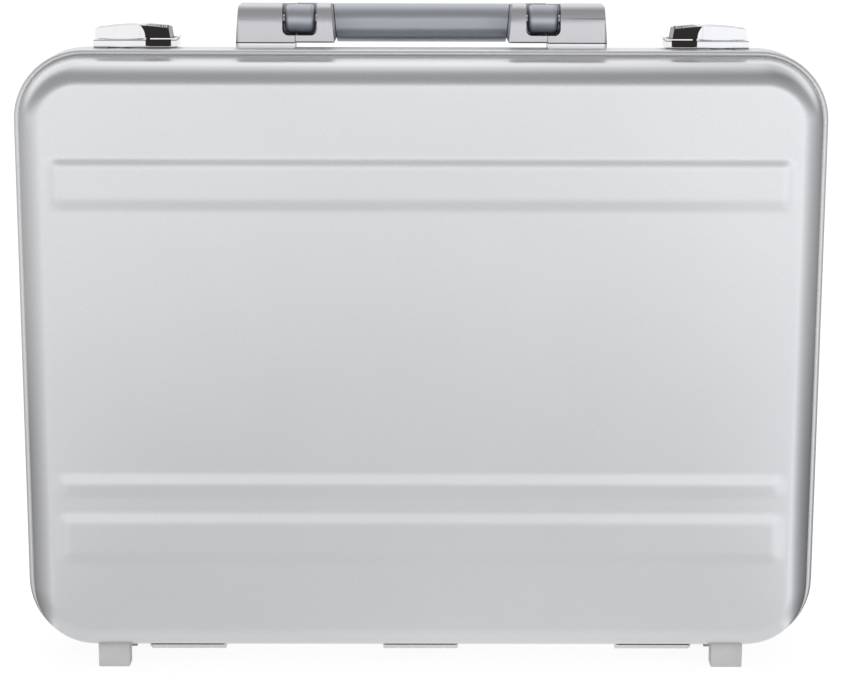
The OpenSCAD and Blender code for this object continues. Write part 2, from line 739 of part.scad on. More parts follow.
// Torsion spring: close turns round the pin.
spring_x = lever_end / 2 + 0.3;
spring_room = 4;          // half the length of the room for it
module latch_springs() color("gray") for (right = [false, true]) on_side(right) at_latch()
  translate([spring_x, lever_axis[0], lever_axis[1]]) rotate([0, 90, 0]) for (turn = [-4:4])
    translate([0, 0, turn * 0.7]) rotate_extrude()
      translate([latch_pin_r + 0.5, 0]) circle(r = 0.4, $fn = 16);

module latch_screws() color("lightgray") for (right = [false, true]) on_side(right) at_latch()
  for (x = latch_screw_places) translate([x, latch_screw_y, 0]) {
    rod_z(latch_base_h - small_head_h - thin_gap, latch_base_h - thin_gap, small_head_r);
    rod_z(0.1 - latch_screw_l, latch_base_h - small_head_h, small_screw_r);
  }

module catch_screws() color("lightgray") for (right = [false, true]) on_side(right) at_latch()
  for (x = keeper_screw_places) translate([x, keeper_screw_y, 0]) {
    rod_z(-keeper_head_h - 0.1, -0.1, keeper_head_r);
    rod_z(0.1 - latch_screw_l, -keeper_head_h, small_screw_r);
  }

// Sprung lever: a domed cap with its knuckles at the back and a claw behind its front.
module latch_lever(right) color("gainsboro") on_side(right) at_latch() difference() {
  union() {
    difference() {
      intersection() {
        along_y(fitting_front, latch_back + cut) dome_section(0, lever_end, lever_bottom);
        along_x(0, lever_end) {
          round_rect([fitting_front, lever_bottom - 4], [lever_axis[0], 2 * lever_h], 1.5);
          translate(lever_axis) circle(r = lever_back_r);
        }
        along_x(0, lever_end) {
          translate([fitting_front, lever_bottom]) square([lever_axis[0] - fitting_front, 2 * lever_h]);
          translate(lever_axis) circle(r = lever_back_r);
        }
      }
      block([ears[0][1] + 1, fitting_front + 1.8, 0],
        [lever_step - 1, lever_axis[0] - lever_back_r - 0.2, lever_h - 2]);
      block([lever_step, 0, 0], [lever_end + cut, fitting_front + step_back, 2 * lever_h]);
    }
    block([claw_x[0], claw_y[0], 0], [claw_x[1], claw_y[1], lever_h - 1.5]);
  }
  // slots for the ears, the bore of the pin and the room of the spring
  for (e = ears) block([e[0] - slack, lever_axis[0] - ear_r - 1.7, 0],
    [e[1] + slack, latch_back + cut, lever_h + cut]);
  translate([0, lever_axis[0], lever_axis[1]]) rod_x(1.4, lever_end + cut, latch_pin_r + running);
  translate([spring_x, lever_axis[0], lever_axis[1]]) rod_x(-spring_room, spring_room, latch_pin_r + 1.2);
  block([spring_x - spring_room, lever_axis[0] - 4, 0],
    [spring_x + spring_room, lever_axis[0] + 1, lever_axis[1]]);
}

// Its front lip laps over the stepped end of the lever along an arc, and its skirt reaches down
// over the front of the latch's base. The release tab's rails run in the two channels.
module dial_housing(right) color("#15161a") on_side(right) at_latch() difference() {
  union() {
    intersection() {
      along_y(fitting_front, housing_back) dome_section(housing_start, latch_l, latch_base_h);
      along_x(0, latch_l) round_rect([fitting_front, -2], [housing_back, 2 * lever_h], 1.5);
    }
    along_y(fitting_front, fitting_front + lip_depth) difference() {
      dome_section(lever_step + slack, housing_start + cut, lever_bottom);
      translate([lever_end - 9, lever_bottom + 0.9]) circle(r = 9);
    }
    block([housing_start, fitting_front, skirt_low], [housing_end, skirt_back, latch_base_h]);
  }
  for (r = rails) block([housing_start - cut, r[0] - slack, rail_low - slack],
    [latch_l, r[1] + slack, rail_low + rail_t + slack]);
  for (i = [-1:1]) translate([dial_mid + i * dial_pitch, dial_at[0], dial_at[1]])
    rod_x(-dial_w / 2 - 0.2, dial_w / 2 + 0.2, dial_r + slack);
  translate([0, dial_at[0], dial_at[1]]) rod_x(housing_start + 0.8, housing_end - 0.8, axle_r);
}

module dial_axles() color("gray") for (right = [false, true]) on_side(right) at_latch()
  translate([0, dial_at[0], dial_at[1]]) rod_x(housing_start + 0.8, housing_end - 0.8, axle_r);

module dial(right, i) color("#e8e8ea") on_side(right) at_latch()
  translate([dial_mid + (i - 2) * dial_pitch, dial_at[0], dial_at[1]]) difference() {
    rod_x(-dial_w / 2, dial_w / 2, dial_r);
    rod_x(-dial_w, dial_w, axle_r + running);
  }

// Two rails under the housing, joined at the inner end by a turned-up tip for the thumb.
module release_tab(right) color("gainsboro") on_side(right) at_latch() {
  high = rail_low + rail_t;
  for (r = rails) block([housing_start + tab_travel + slack, r[0], rail_low], [tip_start + cut, r[1], high]);
  along_y(rails[0][0], rails[1][1]) polygon([[tip_start, rail_low], [latch_l + 0.4, rail_low],
    [latch_l + tip_l, high + 0.25], [latch_l + tip_l - 0.2, high + 0.55], [latch_l + 0.1, high],
    [tip_start, high]]);
}

// ---- lid stays ------------------------------------------------------------------------------------
// The hinge axis, the two pivots and the elbow are the corners of a rhombus, so that each link
// stays parallel to the opposite half of the case.

link_length = norm([stay_y, stay_h]);
link_lean = atan2(stay_y, stay_h);
bracket_in = stay_x - bracket_t;
base_link_x = bracket_in - 0.5 - link_t;
lid_link_x = base_link_x - 0.8 - link_t;

module at_stay(y, z) translate([0, part_y + y, hinge_z + z]) children();

// A bracket plate with its pin; side is 1 for the base and -1 for the lid.
module stay_bracket(side, link_x) at_stay(side * stay_y, stay_h) {
  along_x(bracket_in, stay_x) round_rect([-6, -8], [6, 8], 2);
  rod_x(link_x - 0.4, bracket_in + cut, stay_pin_r);
  rod_x(link_x - 1, link_x - 0.3, stay_pin_r + 0.8);
}

module stay_link(side, x, hole_r, elbow_r) at_stay(side * stay_y, stay_h)
  rotate([side * link_lean, 0, 0]) difference() {
    along_x(x, x + link_t) {
      translate([-link_w / 2, 0]) square([link_w, link_length]);
      circle(r = link_w / 2);
      translate([0, link_length]) circle(r = link_w / 2);
    }
    rod_x(0, frame_w, hole_r);
    translate([0, 0, link_length]) rod_x(0, frame_w, elbow_r);
  }

module stay_brackets_base() color("gray") for (right = [false, true]) on_side(!right)
  stay_bracket(1, base_link_x);
module stay_brackets_lid() color("gray") for (right = [false, true]) on_side(!right)
  stay_bracket(-1, lid_link_x);

module stay_link_base(right) color("lightgray") on_side(!right) {
  stay_link(1, base_link_x, stay_pin_r + running, stay_pin_r);
  at_stay(0, 2 * stay_h) {
    rod_x(lid_link_x - 0.4, base_link_x + link_t, stay_pin_r);
    rod_x(lid_link_x - 1, lid_link_x - 0.3, stay_pin_r + 0.8);
  }
}

module stay_link_lid(right) color("lightgray") on_side(!right)
  stay_link(-1, lid_link_x, stay_pin_r + running, stay_pin_r + 2 * running);

// ---- organiser in the lid -----------------------------------------------------------------------

pocket_v = lid_depth - shell_t - lining_gap - lining_t - pocket_t;
flap_v = pocket_v - flap_t;
loop_w = 16;
loop_t = 1.2;
loop_drop = 30;           // of the loops below the flap's upper edge
loop_places = [for (i = [0:3]) 60 + i * (2 * loop_r + 10)];

module document_pocket() color("#33333a") lid_half() translate([0, 0, pocket_v]) linear_extrude(pocket_t)
  round_rect([-pocket_w / 2, -pocket_h / 2], [pocket_w / 2, pocket_h / 2], 8);

module organiser_flap() color("#26262b") lid_half() translate([0, 0, flap_v]) linear_extrude(flap_t)
  round_rect([-pocket_w / 2 + 5, -pocket_h / 2 + 5], [pocket_w / 2 - 5, flap_h - pocket_h / 2], 6);

// Half-round loops for pens, standing on the flap.
module pen_loops() color("#1c1c20") lid_half() for (x = loop_places)
  translate([x, flap_h - pocket_h / 2 - loop_drop, flap_v]) mirror([0, 0, 1]) rotate([90, 0, 0])
    linear_extrude(loop_w) difference() {
      intersection() {
        circle(r = loop_r);
        translate([-loop_r, 0]) square([2 * loop_r, loop_r]);
      }
      circle(r = loop_r - loop_t);
    }

base_shell();
base_frame();
seal_gasket();
base_lining();
hinge_leaves_base();
hinge_pins();
hinge_screws_base();
feet_base();
feet_screws_base();
handle_pads();
handle_post(false);  // handle_post_left
handle_post(true);  // handle_post_right
handle_barrels();
handle_pins();
handle_screws();
handle_backing_plate();
latch_body(false);  // latch_body_left
latch_body(true);  // latch_body_right
latch_pins();
latch_springs();
latch_screws();
dial_housing(false);  // dial_housing_left
dial_housing(true);  // dial_housing_right
dial_axles();
stay_brackets_base();
lid_shell();
lid_frame();
lid_lining();
hinge_leaves_lid();
hinge_screws_lid();
feet_lid();
feet_screws_lid();
latch_catch(false);  // latch_catch_left
latch_catch(true);  // latch_catch_right
catch_screws();
stay_brackets_lid();
document_pocket();
organiser_flap();
pen_loops();
handle_arm(false);  // handle_arm_left
handle_arm(true);  // handle_arm_right
grip_core();
grip_sleeve();
grip_screws();
latch_lever(false);  // latch_lever_left
latch_lever(true);  // latch_lever_right
release_tab(false);  // release_tab_left
release_tab(true);  // release_tab_right
dial(false, 1);  // dial_left_1
dial(false, 2);  // dial_left_2
dial(false, 3);  // dial_left_3
dial(true, 1);  // dial_right_1
dial(true, 2);  // dial_right_2
dial(true, 3);  // dial_right_3
stay_link_base(false);  // stay_link_base_left
stay_link_base(true);  // stay_link_base_right
stay_link_lid(false);  // stay_link_lid_left
stay_link_lid(true);  // stay_link_lid_right
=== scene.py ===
"""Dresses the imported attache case: its finishes, pressed shells, latches, handle and interior."""

import json
from math import cos, hypot, pi, radians, sin

import bmesh
import bpy
from mathutils import Matrix, Vector

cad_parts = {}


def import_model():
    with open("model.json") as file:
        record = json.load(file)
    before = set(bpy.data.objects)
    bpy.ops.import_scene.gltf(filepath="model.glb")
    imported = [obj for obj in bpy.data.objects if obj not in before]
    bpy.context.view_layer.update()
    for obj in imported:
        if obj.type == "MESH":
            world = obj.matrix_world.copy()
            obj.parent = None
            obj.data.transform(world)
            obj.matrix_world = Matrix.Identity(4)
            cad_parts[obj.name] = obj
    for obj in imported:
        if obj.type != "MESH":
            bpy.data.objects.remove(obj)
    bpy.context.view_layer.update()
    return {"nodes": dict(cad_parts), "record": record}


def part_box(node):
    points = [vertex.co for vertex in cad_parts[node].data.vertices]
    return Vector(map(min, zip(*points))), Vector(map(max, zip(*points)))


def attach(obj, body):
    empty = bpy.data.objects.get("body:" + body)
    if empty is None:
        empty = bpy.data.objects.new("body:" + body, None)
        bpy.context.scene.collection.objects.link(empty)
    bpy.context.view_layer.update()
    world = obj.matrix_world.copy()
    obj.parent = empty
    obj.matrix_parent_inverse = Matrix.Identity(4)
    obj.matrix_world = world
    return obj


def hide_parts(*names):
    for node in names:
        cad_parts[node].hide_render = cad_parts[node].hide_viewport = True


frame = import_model()

MM = 0.001
MERGE = 1e-6               # points this close are one
SLACK = 1e-9               # for comparing lengths

# The case's own sizes, as the solids have them
FRAME_R = 40 * MM          # outer corner radius of the frames
PROUD = 3.9 * MM           # how far the frames stand proud of the shells
SHELL_T = 1.2 * MM         # sheet thickness
DRAFT = radians(10)        # lean of the shell walls
EDGE_R = 14 * MM           # radius between a shell's walls and its face
HEM = 5 * MM               # straight stretch of a shell's wall behind its frame
LID_FRAME, BASE_FRAME = 10 * MM, 13 * MM
LID_WEB, BASE_WEB = 4 * MM, 7 * MM
BAND_H = 0.9 * MM          # the solids' bands stand this proud of the faces
PARTING = 0.15 * MM        # between the parting plane and each frame

low, high = (Vector(p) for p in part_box("base_frame"))
HALF_W = high.x
FRAME_TOP = high.z
MID_Z = (low.z + high.z) / 2
HALF_H = (high.z - low.z) / 2
PART_Y = (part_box("base_frame")[0][1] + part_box("base_shell")[0][1] - BASE_WEB - PARTING) / 2
LID_DEPTH = PART_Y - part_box("lid_shell")[0][1] - BAND_H
BASE_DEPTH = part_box("base_shell")[1][1] - PART_Y - BAND_H


# ---- small tools --------------------------------------------------------------------------------

def mesh_object(name, verts, faces, smooth=True):
    """A new mesh object with outward normals and merged doubles."""
    mesh = bpy.data.meshes.new(name)
    mesh.from_pydata([tuple(v) for v in verts], [], faces)
    work = bmesh.new()
    work.from_mesh(mesh)
    bmesh.ops.remove_doubles(work, verts=work.verts, dist=MERGE)
    bmesh.ops.recalc_face_normals(work, faces=work.faces)
    work.to_mesh(mesh)
    work.free()
    for face in mesh.polygons:
        face.use_smooth = smooth
    obj = bpy.data.objects.new(name, mesh)
    bpy.context.scene.collection.objects.link(obj)
    return obj


def smoothstep(x):
    x = min(1.0, max(0.0, x))
    return x * x * (3 - 2 * x)


def soft_edges(obj, width):
    """Rounds an object's sharp edges with modifiers, leaving its mesh as it is."""
    weld = obj.modifiers.new("weld", "WELD")
    weld.merge_threshold = MERGE
    bevel = obj.modifiers.new("bevel", "BEVEL")
    bevel.width = width
    bevel.segments = 3
    bevel.limit_method = "ANGLE"
    bevel.angle_limit = radians(30)
    bevel.use_clamp_overlap = True
    normals = obj.modifiers.new("normals", "WEIGHTED_NORMAL")
    normals.keep_sharp = False


# ---- shader nodes -------------------------------------------------------------------------------

MOST = 1.6                                  # the highest level that a ramp can hold
EVEN = (1 / MOST, 1 / MOST, 1 / MOST, 1)    # level 1, as a ramp holds it


def feed(tree, socket, value):
    """Gives a socket its value, or a link where the value is another node's socket."""
    if hasattr(value, "links"):
        tree.links.new(value, socket)
    else:
        socket.default_value = value


def math_node(tree, operation, first, second=0.0):
    node = tree.nodes.new("ShaderNodeMath")
    node.operation = operation
    feed(tree, node.inputs[0], first)
    feed(tree, node.inputs[1], second)
    return node.outputs["Value"]


def smooth_range(tree, value, start, end, first, last):
    """Goes smoothly from first to last as value goes from start to end."""
    node = tree.nodes.new("ShaderNodeMapRange")
    node.interpolation_type = "SMOOTHSTEP"
    tree.links.new(value, node.inputs["Value"])
    for name, level in (("From Min", start), ("From Max", end), ("To Min", first), ("To Max", last)):
        node.inputs[name].default_value = level
    return node.outputs["Result"]


def colour_mix(tree, factor, first, second):
    """The first colour at 0 and the second at 1."""
    node = tree.nodes.new("ShaderNodeMix")
    node.data_type = "RGBA"
    for place, value in ((0, factor), (6, first), (7, second)):
        feed(tree, node.inputs[place], value)
    return node.outputs[2]


def shader_mix(tree, factor, first, second):
    """The first shader at 0 and the second at 1."""
    node = tree.nodes.new("ShaderNodeMixShader")
    for socket, value in zip(node.inputs, (factor, first, second)):
        feed(tree, socket, value)
    return node.outputs["Shader"]


def ramp_node(tree, factor, stops):
    """A ramp through (position, level) stops, where a level is a number or a colour. Levels may pass 1, so
    the ramp holds them over MOST, and what uses it multiplies by MOST."""
    ramp = tree.nodes.new("ShaderNodeValToRGB")
    tree.links.new(factor, ramp.inputs["Fac"])
    elements = ramp.color_ramp.elements
    while len(elements) < len(stops):
        elements.new(0.5)
    for element, (position, level) in zip(elements, stops):
        element.position = position
        colour = level if hasattr(level, "__len__") else (level, level, level)
        element.color = (*(c / MOST for c in colour), 1)
    return ramp.outputs["Color"]


def product(tree, *colours):
    """Ramps' colours multiplied; each brings a factor of 1 / MOST."""
    total = colours[0]
    for colour in colours[1:]:
        node = tree.nodes.new("ShaderNodeVectorMath")
        node.operation = "MULTIPLY"
        tree.links.new(total, node.inputs[0])
        tree.links.new(colour, node.inputs[1])
        total = node.outputs["Vector"]
    return total


# ---- materials ----------------------------------------------------------------------------------

NOISE_SPAN = (0.3, 0.7)    # most of a noise lies between these


class Nodes:
    """A material's node tree, with its shader and the few nodes that the finishes share."""

    def __init__(self, name):
        self.material = bpy.data.materials.new(name)
        self.material.use_nodes = True
        self.tree = self.material.node_tree
        self.shader = self.tree.nodes["Principled BSDF"]
        self.coords = self.tree.nodes.new("ShaderNodeTexCoord").outputs["Object"]

    def fill(self, node, inputs):
        """Sets or links a node's inputs, whose names have underscores for spaces."""
        for key, value in inputs.items():
            feed(self.tree, node.inputs[key.replace("_", " ")], value)
        return node

    def add(self, kind, **inputs):
        return self.fill(self.tree.nodes.new("ShaderNode" + kind), inputs)

    def stretched(self, scale):
        return self.add("Mapping", Vector=self.coords, Scale=scale).outputs["Vector"]

    def noise(self, scale, detail, vector=None):
        node = self.add("TexNoise", Vector=vector or self.coords, Scale=scale, Detail=detail)
        return node.outputs["Fac"]

    def between(self, factor, low, high):
        """A colour that goes from low to high with the factor."""
        ramp = self.add("ValToRGB", Fac=factor)
        for element, colour, position in zip(ramp.color_ramp.elements, (low, high), NOISE_SPAN):
            element.color = (*colour, 1)
            element.position = position
        return ramp.outputs["Color"]

    def spread(self, factor, low, high):
        """A number that does the same."""
        least, most = NOISE_SPAN
        node = self.add("MapRange", Value=factor, From_Min=least, From_Max=most, To_Min=low, To_Max=high)
        return node.outputs["Result"]

    def bump(self, height, distance, strength, normal=None):
        node = self.add("Bump", Height=height, Distance=distance, Strength=strength)
        if normal:
            self.tree.links.new(normal, node.inputs["Normal"])
        return node.outputs["Normal"]

    def set(self, **inputs):
        self.fill(self.shader, inputs)
        return self.material


THREAD_SCALE = 260.0       # about a thread a millimetre
# Painted shade: metal can be painted black in lines where two parts meet, standing in for the shade in the
# gap between them
SHADE_LINE_SOFT = 0.15 * MM     # how softly a painted shade line ends
SHADE_LINE_BLACK = (0.05, 0.05, 0.055, 1)


def tint(colour, amount):
    return tuple(c * amount for c in colour)


def metal(name, colour, roughness, grain, grain_depth, spread, vary, stretch=None, joints=()):
    """Metal with a fine grain, slight cloudiness and uneven roughness. grain is the noise's scale, spread and
    vary are how far the roughness and the colour go from their middle, and stretch draws the grain out.
    Over the (from, to) heights of its last argument it is painted black: painted shade where two parts meet."""
    n = Nodes(name)
    vector = n.stretched(stretch) if stretch else n.coords
    fine = n.noise(grain, 2, vector)
    base = n.between(n.noise(14, 3), tint(colour, 1 - vary), tint(colour, 1 + vary))
    # Painted shade: black lines over the given heights, where two parts meet
    for start, end in joints:
        height = n.add("SeparateXYZ", Vector=n.coords).outputs["Z"]
        up = n.add("MapRange", Value=height, From_Min=start - SHADE_LINE_SOFT, From_Max=start + SHADE_LINE_SOFT)
        down = n.add("MapRange", Value=height, From_Min=end - SHADE_LINE_SOFT, From_Max=end + SHADE_LINE_SOFT,
                     To_Min=1.0, To_Max=0.0)
        inside = math_node(n.tree, "MULTIPLY", up.outputs["Result"], down.outputs["Result"])
        base = colour_mix(n.tree, inside, base, SHADE_LINE_BLACK)
    return n.set(
        Base_Color=base,
        Metallic=1.0,
        Roughness=n.spread(fine, roughness - spread, roughness + spread),
        Normal=n.bump(fine, grain_depth, 0.5),
    )


def plastic(name, colour, roughness, grain=900, grain_depth=0.00003, coat=0.0, shine=0.5):
    """Moulded plastic or rubber with a fine grain."""
    n = Nodes(name)
    fine = n.noise(grain, 2)
    return n.set(
        Base_Color=n.between(n.noise(40, 3), tint(colour, 0.94), tint(colour, 1.06)),
        Roughness=n.spread(fine, roughness * 0.85, roughness * 1.15),
        Specular_IOR_Level=shine,
        Coat_Weight=coat,
        Coat_Roughness=0.03,
        Normal=n.bump(fine, grain_depth, 0.4),
    )


def woven(name, colour):
    """Fine plain weave with a soft sheen, its threads along the two axes in a surface's own plane."""
    n = Nodes(name)
    facing = n.add("SeparateXYZ", Vector=n.tree.nodes.new("ShaderNodeNewGeometry").outputs["Normal"])
    weave = 1.0
    for direction in "XYZ":
        wave = n.add("TexWave", Vector=n.coords, Scale=THREAD_SCALE, Distortion=0.6, Detail=1.0)
        wave.bands_direction = direction
        size = math_node(n.tree, "ABSOLUTE", facing.outputs[direction])
        off = n.add("MapRange", Value=size, From_Min=0.55, From_Max=0.8)
        plain = n.add("Mix", Factor=off.outputs["Result"], A=wave.outputs["Fac"], B=1.0).outputs["Result"]
        weave = math_node(n.tree, "MULTIPLY", weave, plain)
    return n.set(
        Base_Color=n.between(weave, tint(colour, 0.7), tint(colour, 1.5)),
        Roughness=n.spread(n.noise(60, 3), 0.75, 0.95),
        Sheen_Weight=0.4,
        Normal=n.bump(weave, 0.0003, 0.8),
    )


def elastic(name, colour):
    """Ribbed elastic webbing."""
    n = Nodes(name)
    wave = n.add("TexWave", Vector=n.coords, Scale=THREAD_SCALE, Distortion=0.3)
    wave.bands_direction = "Z"
    ribs = wave.outputs["Fac"]
    return n.set(
        Base_Color=n.between(ribs, tint(colour, 0.6), tint(colour, 1.3)),
        Roughness=n.spread(n.noise(300, 2), 0.7, 0.9),
        Sheen_Weight=0.3,
        Normal=n.bump(ribs, 0.0002, 0.7),
    )


def leather(name, colour):
    """Creased leather with a fine cell grain."""
    n = Nodes(name)
    cells = n.add("TexVoronoi", Vector=n.coords, Scale=700.0)
    cells.feature = "DISTANCE_TO_EDGE"
    creases = n.noise(90, 4)
    grain = n.bump(cells.outputs["Distance"], 0.0004, 0.5)
    return n.set(
        Base_Color=n.between(creases, tint(colour, 0.8), tint(colour, 1.25)),
        Roughness=n.spread(creases, 0.42, 0.6),
        Normal=n.bump(creases, 0.0002, 0.3, grain),
    )


SHELL = metal("blasted aluminium", (0.715, 0.72, 0.733), 0.30, 2200, 0.000012, 0.03, 0.012)
FRAME = metal("anodised frame", (0.80, 0.803, 0.81), 0.42, 900, 0.000002, 0.02, 0.01, (0.2, 1, 0.2))
CHROMED = ((0.80, 0.80, 0.825), 0.10, 500, 0.000002, 0.02, 0.01)
# Painted shade: dark lines at the foot of the latches' bases and along their upper edge, under the levers
CHROME = metal("chrome", *CHROMED, joints=[(FRAME_TOP, FRAME_TOP + 0.4 * MM),
                                           (FRAME_TOP + 3.9 * MM, FRAME_TOP + 4.25 * MM)])
LEVER = metal("chrome lever", *CHROMED)
STEEL = metal("brushed steel", (0.56, 0.56, 0.57), 0.30, 900, 0.00001, 0.06, 0.04, (0.1, 1, 1))
HINGE = metal("hinge aluminium", (0.70, 0.70, 0.71), 0.30, 900, 0.000006, 0.05, 0.03, (0.2, 1, 1))
PAINTED = ((0.63, 0.63, 0.66), 0.36, 2600, 0.000008, 0.05, 0.02)
# Painted shade: a dark line between the handle's posts and their pads
HANDLE = metal("silver paint", *PAINTED, joints=[(FRAME_TOP + 2.6 * MM, FRAME_TOP + 3.3 * MM)])
ARM = metal("silver paint of the arms", *PAINTED)
PADS = metal("cast pad", (0.90, 0.90, 0.91), 0.30, 2600, 0.000008, 0.05, 0.02)
GRIP = metal("grip finish", (0.50, 0.53, 0.575), 0.42, 2600, 0.000008, 0.05, 0.03)
FEET = plastic("foot plastic", (0.52, 0.52, 0.52), 0.55)
RUBBER = plastic("black rubber", (0.02, 0.02, 0.022), 0.7)
GLOSS = plastic("gloss black", (0.012, 0.008, 0.008), 0.12, 300, 0.000002, shine=0.2)
DIAL = plastic("dial black", (0.012, 0.012, 0.014), 0.3, 600, 0.00001, 0.2)
DIGIT = plastic("dial numerals", (0.75, 0.75, 0.75), 0.5, 1200, 0.00001)
WEAVE = woven("lining weave", (0.05, 0.05, 0.058))
LEATHER = leather("organiser leather", (0.02, 0.02, 0.024))
ELASTIC = elastic("elastic webbing", (0.03, 0.03, 0.034))
THREAD = plastic("sewing thread", (0.16, 0.16, 0.17), 0.7, 3000, 0.00005)

FINISH = {
    "frame": (FRAME, 0.3 * MM),
    "seal": (RUBBER, 0.2 * MM),
    "lining": (WEAVE, 0),
    "hinge": (HINGE, 0.2 * MM),
    "steel": (STEEL, 0.15 * MM),
    "feet": (FEET, 0.6 * MM),
    "handle_metal": (HANDLE, 0.8 * MM),
    "grip": (GRIP, 0.4 * MM),
    "chrome": (CHROME, 0.6 * MM),
    "dial_housing": (GLOSS, 0.6 * MM),
    "dial": (DIAL, 0.15 * MM),
    "organiser": (LEATHER, 0.4 * MM),
    "shell": (SHELL, 0),
}


# Nodes whose material isn't their slot's
# The arms and the levers take the same paint and chrome without the painted shade lines
APART = {
    "handle_pads": PADS,
    "handle_arm_left": ARM,
    "handle_arm_right": ARM,
    "latch_lever_left": LEVER,
    "latch_lever_right": LEVER,
}


def dress_solids():
    """Gives every solid its finish and soft edges."""
    slots = {part["node"]: part["material_slot"] for part in frame["record"]["subparts"]}
    for name, obj in frame["nodes"].items():
        material, edge = FINISH[slots[name]]
        obj.data.materials.clear()
        obj.data.materials.append(APART.get(name, material))
        if edge:
            soft_edges(obj, edge)


# ---- rounded-rectangle forms: shells, linings and pads ------------------------------------------

def form(name, half_x, half_z, rings, lift, side, middle=0.0, closed=False, cells=(76, 180, 18)):
    """Rings of (u, v) round a middle grid, u outwards from a rounded rectangle's corner centres and v away
    from the parting plane. lift(x, z, v) is added to v. A closed form has a second grid at its last ring.
    cells are the counts of steps along x, along z and round a corner."""
    nx, nz, nc = cells
    corners = [(half_x, half_z), (-half_x, half_z), (-half_x, -half_z), (half_x, -half_z)]
    verts, faces = [], []

    def loop(u):
        points = []
        for quarter, (cx, cz) in enumerate(corners):
            for i in range(nc + 1):
                turn = (quarter + i / nc) * pi / 2
                points.append((cx + u * cos(turn), cz + u * sin(turn)))
            steps = nx if quarter % 2 == 0 else nz
            ax, az = points[-1]
            turn = (quarter + 1) * pi / 2
            bx, bz = corners[(quarter + 1) % 4]
            bx, bz = bx + u * cos(turn), bz + u * sin(turn)
            points += [(ax + (bx - ax) * i / steps, az + (bz - az) * i / steps) for i in range(1, steps)]
        return points

    def place(x, z, v):
        verts.append((x, PART_Y + side * (v + lift(x, z, v)), MID_Z + middle + z))

    def grid(v):
        start = len(verts)
        for row in range(nz + 1):
            for column in range(nx + 1):
                place(half_x * (2 * column / nx - 1), half_z * (2 * row / nz - 1), v)
        for row in range(nz):
            for column in range(nx):
                a = start + row * (nx + 1) + column
                faces.append((a, a + 1, a + nx + 2, a + nx + 1))

    for u, v in rings:
        for x, z in loop(u):
            place(x, z, v)
    count = len(loop(0.0))
    for ring in range(len(rings) - 1):
        for i in range(count):
            j = (i + 1) % count
            a, b = ring * count, (ring + 1) * count
            faces.append((a + i, a + j, b + j, b + i))
    grid(rings[0][1])
    if closed:
        grid(rings[-1][1])
    return mesh_object(name, verts, faces)


def face_y(obj, direction):
    """Turns an open form's normals so that its broad face looks along direction times Y."""
    outward = sum(f.normal.y * f.area for f in obj.data.polygons)
    if outward * direction < 0:
        obj.data.flip_normals()


def finished(obj, material, body, slot, *nodes):
    """Gives a piece its material and its body, and hides the nodes that it replaces; its slot is not used."""
    obj.data.materials.append(material)
    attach(obj, body)
    if nodes:
        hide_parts(*nodes)
    return obj


def thicken(obj, thickness, offset=-1):
    """Gives a surface its thickness: behind it at an offset of -1, to both sides of it at 0."""
    sheet = obj.modifiers.new("thickness", "SOLIDIFY")
    sheet.thickness = thickness
    sheet.offset = offset


def pressed_profile(depth, hem_v, end_v, inset=0.0):
    """A pressed tray's surface at a distance inside its outside, as (u, v) from the face to the rim. Its last
    three points are the hem: its start, its middle and its end."""
    hem_u = FRAME_R - PROUD
    arc_u = hem_u - (EDGE_R + (depth - EDGE_R - hem_v) * sin(DRAFT)) / cos(DRAFT)
    flat_steps, arc_steps = 8, 20
    points = [(arc_u * i / flat_steps, depth - inset) for i in range(flat_steps + 1)]
    radius = EDGE_R - inset
    for i in range(1, arc_steps + 1):
        turn = pi / 2 - (pi / 2 - DRAFT) * i / arc_steps
        points.append((arc_u + radius * cos(turn), depth - EDGE_R + radius * sin(turn)))
    return points + [(hem_u - inset, hem_v), (hem_u - inset, hem_v - HEM / 2), (hem_u - inset, end_v)]


# ---- pressed shells -----------------------------------------------------------------------------

# The pressed bands: middle above the face's middle, width, and widths of the upper and the lower slope
BANDS = [
    (102.5 * MM, 24 * MM, 6 * MM, 7 * MM),
    (-102.5 * MM, 24 * MM, 7.4 * MM, 7 * MM),
    (-71.1 * MM, 7.6 * MM, 7.2 * MM, 7.6 * MM),
]
BAND_LEN, BAND_END = 206 * MM, 5 * MM       # half their length, and the slope at their ends
RELIEF = 0.85 * MM                          # their height
# Bead that the frame's nose beds on: (distance in front of the nose, rise from the hem), mm
BED = [(1.6, 0.0), (0.9, 0.06), (0.4, 0.28), (0.05, 0.6), (-0.3, 0.78), (-0.7, 0.40), (-1.2, 0.0)]


def ramp(x):
    """0 below 0, 1 above 1, and a straight line with rounded ends between."""
    soft = 0.16                # how much of each end is rounded
    x = min(1.0, max(0.0, x))
    if x < soft:
        level = x * x / (2 * soft)
    elif x > 1 - soft:
        level = 1 - soft - (1 - x) * (1 - x) / (2 * soft)
    else:
        level = x - soft / 2
    return level / (1 - soft)


def relief(x, z):
    """Height of the pressed bands at a place on the face, from its middle."""
    height = 0.0
    for at, width, up, down in BANDS:
        above = ramp((at + width / 2 + up / 2 - z) / up)
        below = ramp((z - at + width / 2 + down / 2) / down)
        height = max(height, above * below)
    return RELIEF * height * ramp((BAND_LEN + BAND_END / 2 - abs(x)) / BAND_END)


def shell(name, node, body, depth, frame_d, web, side):
    """A pressed shell with soft-shouldered bands. side is -1 for the lid and 1 for the base."""
    rings = pressed_profile(depth, frame_d + HEM, web)
    rings[-2:-1] = [(FRAME_R - PROUD + rise * MM, frame_d + ahead * MM) for ahead, rise in BED]
    obj = form(name, HALF_W - FRAME_R, HALF_H - FRAME_R, rings,
               lambda x, z, v: relief(x, z) if v >= depth - SLACK else 0.0, side)
    face_y(obj, side)
    thicken(obj, SHELL_T)
    return finished(obj, SHELL, body, "shell", node)


# ---- lining and organiser -----------------------------------------------------------------------

